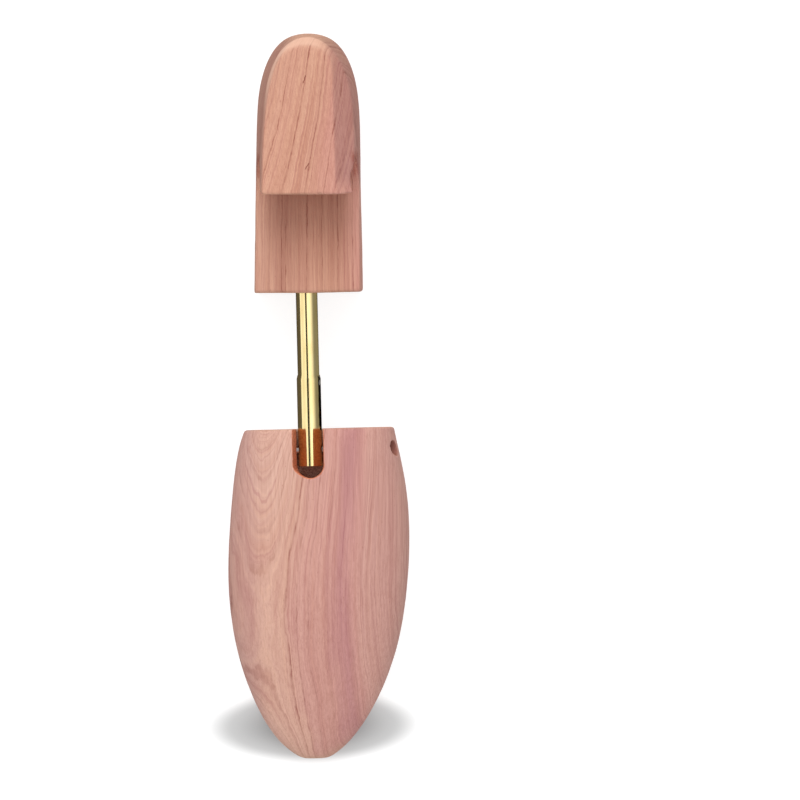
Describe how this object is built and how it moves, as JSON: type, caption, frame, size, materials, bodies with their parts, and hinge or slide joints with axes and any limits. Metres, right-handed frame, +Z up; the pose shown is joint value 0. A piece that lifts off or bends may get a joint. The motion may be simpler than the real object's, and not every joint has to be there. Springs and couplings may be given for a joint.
{
  "type": "shoe tree",
  "caption": "Left-foot cedar shoe tree: toe block hinged on a spring-loaded telescopic tube, and a heel block with an undercut knob to pull it out by.",
  "frame": {"origin": "on the sole plane of the toe block, straight under the pin that the toe block turns on", "axes": "+X along the tubes from heel to toe, +Y to the outer (little toe) side of a left foot, +Z up from the soles"},
  "size_m": [0.3046, 0.0766, 0.0518],
  "materials": {
    "cedar": "bare sanded red cedar",
    "brass_plate": "bright brass plate on rolled steel tube",
    "steel": "plain drawn steel wire"
  },
  "bodies": {
    "toe": {"toe_block": "cedar", "pivot_pin": "steel"},
    "socket": {"outer_tube": "brass_plate", "lower_spring_seat": "steel", "spring": "steel"},
    "heel": {"heel_block": "cedar", "inner_tube": "brass_plate", "heel_pin": "steel", "guide_stud": "steel", "upper_spring_seat": "steel"}
  },
  "joints": [
    {"name": "toe_pivot", "type": "hinge", "parent": "toe", "child": "socket", "pos_m": [0, 0, 0.02], "axis": [0, 1, 0], "range_deg": [0, 40]},
    {"name": "tube_slide", "type": "slide", "parent": "socket", "child": "heel", "axis": [1, 0, 0], "range_m": [0, 0.019], "stiffness_N_per_m": 1900, "springref_m": -0.008, "deforming": ["spring"]}
  ]
}
